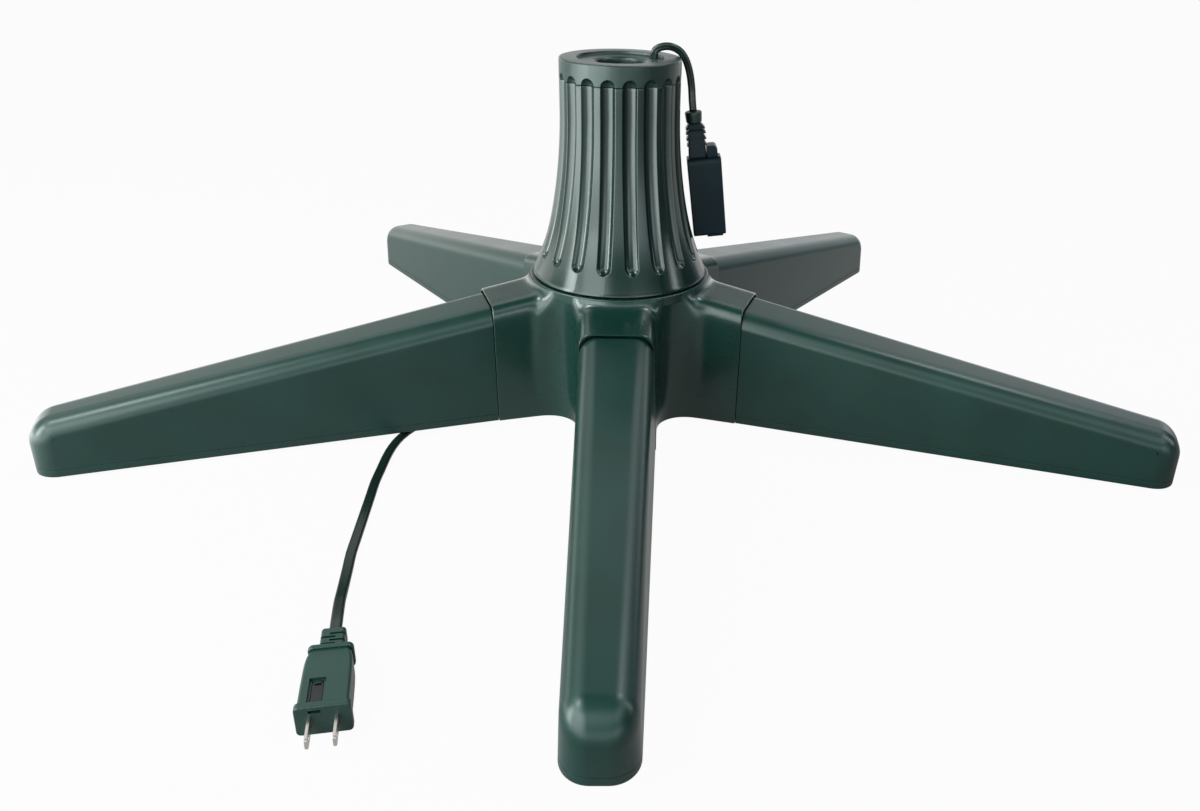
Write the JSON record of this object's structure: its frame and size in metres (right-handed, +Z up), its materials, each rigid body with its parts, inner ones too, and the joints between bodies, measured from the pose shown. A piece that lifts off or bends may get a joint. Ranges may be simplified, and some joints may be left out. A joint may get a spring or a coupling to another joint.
{
  "type": "rotating tree stand",
  "caption": "Rotating stand for a decorated tree: a motor-driven fluted column with a pole socket and a corded outlet, on a hub with plug-in legs and a power cord with a fused plug.",
  "frame": {"origin": "on the floor, in the middle of the box round the five legs; the column turns about a vertical axis at y = +0.0369 m", "axes": "+Z up along the turning axis, -Y towards the front leg, +X to the right as seen from the front"},
  "size_m": [0.7876, 0.7506, 0.2687],
  "materials": {
    "column_green": "satin moulded plastic, dark grey green",
    "cap_green": "fine-textured moulded plastic, dark grey green",
    "hub_green": "satin moulded plastic, dark green",
    "leg_green": "satin moulded plastic, dark green",
    "cover_green": "satin moulded plastic, dark green",
    "tube_green": "satin moulded plastic, dark green",
    "cord_green": "glossy cord sheath, dark green",
    "plug_green": "satin moulded plug, green",
    "outlet_black": "near-black moulded plastic",
    "door_black": "black plastic",
    "insulator_black": "black plastic",
    "lead_black": "black wire insulation",
    "bushing_plastic": "acetal",
    "gear_plastic": "acetal",
    "pad_rubber": "black rubber",
    "screw_steel": "zinc plated",
    "motor_steel": "zinc plated",
    "shaft_steel": "turned",
    "bearing_steel": "ground",
    "plate_steel": "pressed plate",
    "brush_copper": "copper graphite",
    "ring_brass": "turned",
    "blade_metal": "nickel plated brass",
    "fuse_glass": "glass tube with metal ends"
  },
  "bodies": {
    "base": {"hub_shell": "hub_green", "hub_bottom_cover": "hub_green", "cover_screws": "screw_steel", "motor": "motor_steel", "motor_screws": "screw_steel", "upper_bushing": "bushing_plastic", "lower_bushing": "bushing_plastic", "lower_race": "bearing_steel", "brush_holder": "insulator_black", "contact_brushes": "brush_copper", "strain_relief": "plug_green", "hub_leads": "lead_black", "power_cord_tail": "cord_green", "power_cord_coil": "cord_green", "power_cord_run": "cord_green", "plug_body": "plug_green", "plug_blades": "blade_metal", "plug_fuses": "fuse_glass"},
    "turntable": {"column_shell": "column_green", "top_cap": "cap_green", "pole_tube": "tube_green", "socket_screws": "screw_steel", "turntable_plate": "plate_steel", "column_screws": "screw_steel", "upper_race": "bearing_steel", "spindle": "shaft_steel", "spindle_clip": "shaft_steel", "drive_gear": "gear_plastic", "slip_ring_drum": "insulator_black", "slip_rings": "ring_brass", "outlet_lead": "cord_green", "outlet_cord": "cord_green", "cord_collar": "outlet_black", "outlet_block": "outlet_black", "outlet_contacts": "ring_brass"},
    "ball_ring": {"ball_cage": "gear_plastic", "bearing_balls": "bearing_steel"},
    "motor_output": {"motor_shaft": "shaft_steel", "pinion": "gear_plastic"},
    "fuse_door": {"fuse_door": "door_black"},
    "front_leg": {"front_leg_shell": "leg_green", "front_leg_cover": "cover_green", "front_foot_pad": "pad_rubber"},
    "left_leg": {"left_leg_shell": "leg_green", "left_leg_cover": "cover_green", "left_foot_pad": "pad_rubber"},
    "right_leg": {"right_leg_shell": "leg_green", "right_leg_cover": "cover_green", "right_foot_pad": "pad_rubber"},
    "back_right_leg": {"back_right_leg_shell": "leg_green", "back_right_leg_cover": "cover_green", "back_right_foot_pad": "pad_rubber"},
    "back_left_leg": {"back_left_leg_shell": "leg_green", "back_left_leg_cover": "cover_green", "back_left_foot_pad": "pad_rubber"}
  },
  "joints": [
    {"name": "column_spin", "type": "hinge", "parent": "base", "child": "turntable", "pos_m": [0, 0.03686, 0.1], "axis": [0, 0, 1], "continuous": true},
    {"name": "pinion_spin", "type": "hinge", "parent": "base", "child": "motor_output", "pos_m": [0.02645, 0.00046, 0.05], "axis": [0, 0, 1], "continuous": true},
    {"name": "ball_ring_spin", "type": "hinge", "parent": "base", "child": "ball_ring", "pos_m": [0, 0.03686, 0.1], "axis": [0, 0, 1], "continuous": true},
    {"name": "fuse_door_slide", "type": "slide", "parent": "base", "child": "fuse_door", "axis": [0.1736, -0.9848, 0], "range_m": [0, 0.007]},
    {"name": "front_leg_slide", "type": "slide", "parent": "base", "child": "front_leg", "axis": [0, -1, 0], "range_m": [0, 0.033]},
    {"name": "left_leg_slide", "type": "slide", "parent": "base", "child": "left_leg", "axis": [-0.9511, -0.309, 0], "range_m": [0, 0.033]},
    {"name": "right_leg_slide", "type": "slide", "parent": "base", "child": "right_leg", "axis": [0.9511, -0.309, 0], "range_m": [0, 0.033]},
    {"name": "back_right_leg_slide", "type": "slide", "parent": "base", "child": "back_right_leg", "axis": [0.5878, 0.809, 0], "range_m": [0, 0.033]},
    {"name": "back_left_leg_slide", "type": "slide", "parent": "base", "child": "back_left_leg", "axis": [-0.5878, 0.809, 0], "range_m": [0, 0.033]}
  ],
  "couplings": [
    {"joint": "pinion_spin", "follows": "column_spin", "ratio": -5},
    {"joint": "ball_ring_spin", "follows": "column_spin", "ratio": 0.5}
  ]
}
